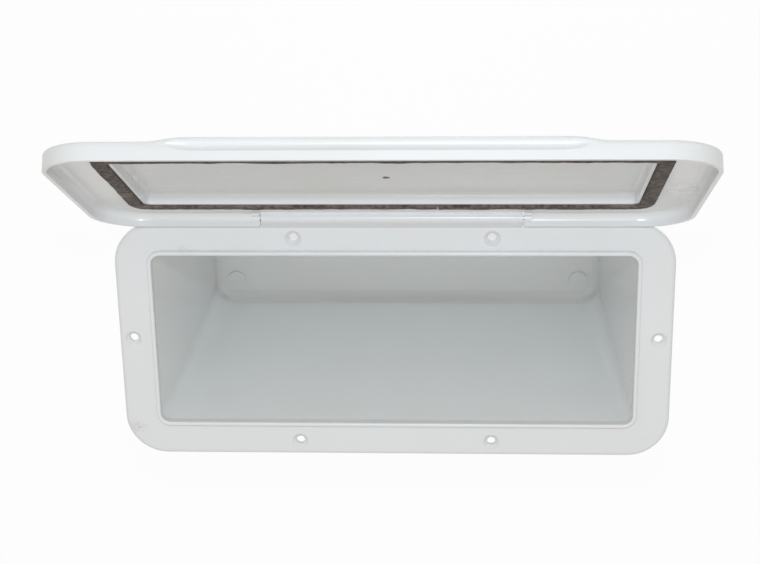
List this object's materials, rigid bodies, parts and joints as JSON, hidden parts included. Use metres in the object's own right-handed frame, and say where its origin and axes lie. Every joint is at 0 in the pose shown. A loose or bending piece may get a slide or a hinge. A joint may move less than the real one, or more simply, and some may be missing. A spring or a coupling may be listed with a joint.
{
  "type": "access hatch",
  "caption": "White moulded access hatch: countersunk flange round a rectangular opening, deep drafted storage box behind it, and an overhanging hinged lid with a foam gasket",
  "frame": {"origin": "centre of the flange's back face, which lies on the wall or deck panel", "axes": "+Z out of the panel, +X along the hinge, +Y to the hinge side"},
  "size_m": [0.368, 0.2564, 0.3587],
  "materials": {
    "frame_white": "gloss white moulded plastic",
    "box_white": "semi-gloss white moulded plastic",
    "lid_white": "gloss white moulded plastic",
    "foam": "dull closed-cell foam",
    "pin_steel": "drawn, slightly browned"
  },
  "bodies": {
    "base": {"frame": "frame_white", "storage_box": "box_white", "hinge_pin_left": "pin_steel", "hinge_pin_right": "pin_steel"},
    "cover": {"lid": "lid_white", "lid_gasket": "foam"}
  },
  "joints": [
    {"name": "lid_hinge", "type": "hinge", "parent": "base", "child": "cover", "pos_m": [0, 0.08475, 0.00675], "axis": [1, 0, 0], "range_deg": [0, 120]}
  ]
}
